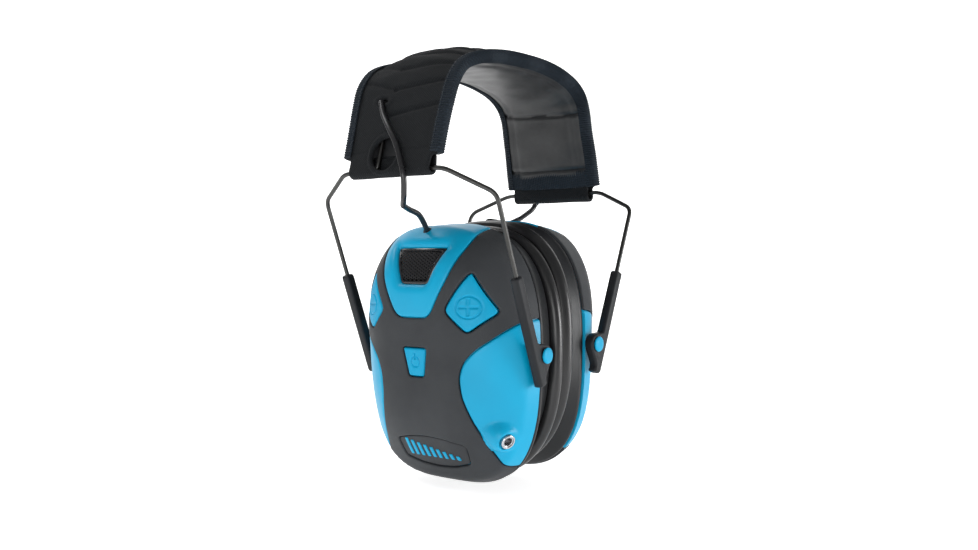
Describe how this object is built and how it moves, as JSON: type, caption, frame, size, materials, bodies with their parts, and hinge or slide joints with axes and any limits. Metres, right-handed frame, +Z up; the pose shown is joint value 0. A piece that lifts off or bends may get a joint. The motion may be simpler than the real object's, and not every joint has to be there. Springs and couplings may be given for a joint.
{
  "type": "earmuff hearing protector",
  "caption": "Over-ear hearing protector: padded fabric headband on two spring wires, sliding arms, tilting domed cups with soft cushions, keys and a cable.",
  "frame": {"origin": "on the line of the pivots, midway between the two cups", "axes": "+X from the left cup to the right cup, +Y to the back of the head, +Z up to the crown of the headband"},
  "size_m": [0.123, 0.101, 0.1895],
  "materials": {
    "shell_blue": "satin moulded plastic",
    "dark_plastic": "fine matt",
    "arm_plastic": "satin",
    "fabric": "stretch fabric over foam",
    "binding": "ribbed binding tape",
    "pad_leather": "smooth coated fabric over foam",
    "cushion_skin": "glossy coated skin over soft foam",
    "spring_steel": "dark spring steel",
    "bright_metal": "bright plated",
    "mesh_metal": "black perforated mesh",
    "foam": "open-cell foam",
    "cable": "satin flexible sheath",
    "board": "coated board",
    "cell": "plain wrapped cell"
  },
  "bodies": {
    "band_left": {"cover_left": "fabric", "inner_pad_left": "pad_leather", "end_loop_left": "fabric", "binding_left_front": "binding", "binding_left_rear": "binding", "wire_left_front": "spring_steel", "wire_left_rear": "spring_steel", "cable_band_left": "cable", "cable_free_left": "cable"},
    "arm_left_front": {"arm_left_front": "arm_plastic"},
    "arm_left_rear": {"arm_left_rear": "arm_plastic"},
    "cup_left": {"shell_left": "shell_blue", "overlay_left": "dark_plastic", "badge_plate_left": "dark_plastic", "mic_grille_left": "mesh_metal", "microphone_left": "bright_metal", "cable_gland_left": "arm_plastic", "rim_left": "dark_plastic", "cushion_left": "cushion_skin", "foam_liner_left": "foam", "speaker_left": "arm_plastic", "pivot_pin_left_front": "shell_blue", "pivot_pin_left_rear": "shell_blue", "circuit_board": "board", "audio_jack": "bright_metal"},
    "band_right": {"cover_right": "fabric", "inner_pad_right": "pad_leather", "end_loop_right": "fabric", "binding_right_front": "binding", "binding_right_rear": "binding", "wire_right_front": "spring_steel", "wire_right_rear": "spring_steel", "cable_band_right": "cable", "cable_free_right": "cable"},
    "arm_right_front": {"arm_right_front": "arm_plastic"},
    "arm_right_rear": {"arm_right_rear": "arm_plastic"},
    "cup_right": {"shell_right": "shell_blue", "overlay_right": "dark_plastic", "badge_plate_right": "dark_plastic", "mic_grille_right": "mesh_metal", "microphone_right": "bright_metal", "cable_gland_right": "arm_plastic", "rim_right": "dark_plastic", "cushion_right": "cushion_skin", "foam_liner_right": "foam", "speaker_right": "arm_plastic", "pivot_pin_right_front": "shell_blue", "pivot_pin_right_rear": "shell_blue", "battery_tray": "arm_plastic", "battery_front": "cell", "battery_back": "cell"},
    "plus_button": {"plus_button": "shell_blue"},
    "minus_button": {"minus_button": "shell_blue"},
    "power_button": {"power_button": "shell_blue"},
    "battery_door": {"battery_door": "dark_plastic"}
  },
  "joints": [
    {"name": "spread", "type": "hinge", "parent": "band_left", "child": "band_right", "pos_m": [0, 0, 0.1335], "axis": [0, -1, 0], "range_deg": [0, 30], "stiffness_Nm_per_rad": 1.4, "springref_deg": -6.88},
    {"name": "slide_left_front", "type": "slide", "parent": "band_left", "child": "arm_left_front", "axis": [-0.3779, 0, 0.9259], "range_m": [-0.01, 0.014], "deforming": ["cable_free_left"]},
    {"name": "slide_left_rear", "type": "slide", "parent": "band_left", "child": "arm_left_rear", "axis": [-0.3779, 0, 0.9259], "range_m": [-0.01, 0.014]},
    {"name": "tilt_left", "type": "hinge", "parent": "arm_left_front", "child": "cup_left", "pos_m": [-0.019, 0, 0], "axis": [0, 1, 0], "range_deg": [-8, 8], "deforming": ["cushion_left"]},
    {"name": "slide_right_front", "type": "slide", "parent": "band_right", "child": "arm_right_front", "axis": [0.3779, 0, 0.9259], "range_m": [-0.013, 0.011], "deforming": ["cable_free_right"]},
    {"name": "slide_right_rear", "type": "slide", "parent": "band_right", "child": "arm_right_rear", "axis": [0.3779, 0, 0.9259], "range_m": [-0.013, 0.011]},
    {"name": "tilt_right", "type": "hinge", "parent": "arm_right_front", "child": "cup_right", "pos_m": [0.02013, 0, 0.00278], "axis": [0, 1, 0], "range_deg": [-8, 8], "deforming": ["cushion_right"]},
    {"name": "plus_button_press", "type": "slide", "parent": "cup_left", "child": "plus_button", "axis": [1, 0, 0], "range_m": [0, 0.0008], "stiffness_N_per_m": 400},
    {"name": "minus_button_press", "type": "slide", "parent": "cup_left", "child": "minus_button", "axis": [1, 0, 0], "range_m": [0, 0.0008], "stiffness_N_per_m": 400},
    {"name": "power_button_press", "type": "slide", "parent": "cup_left", "child": "power_button", "axis": [1, 0, 0], "range_m": [0, 0.0008], "stiffness_N_per_m": 400},
    {"name": "battery_door_slide", "type": "slide", "parent": "cup_right", "child": "battery_door", "axis": [1, 0, 0], "range_m": [0, 0.02]}
  ],
  "couplings": [
    {"joint": "slide_left_rear", "follows": "slide_left_front", "ratio": 1},
    {"joint": "slide_right_rear", "follows": "slide_right_front", "ratio": 1}
  ]
}
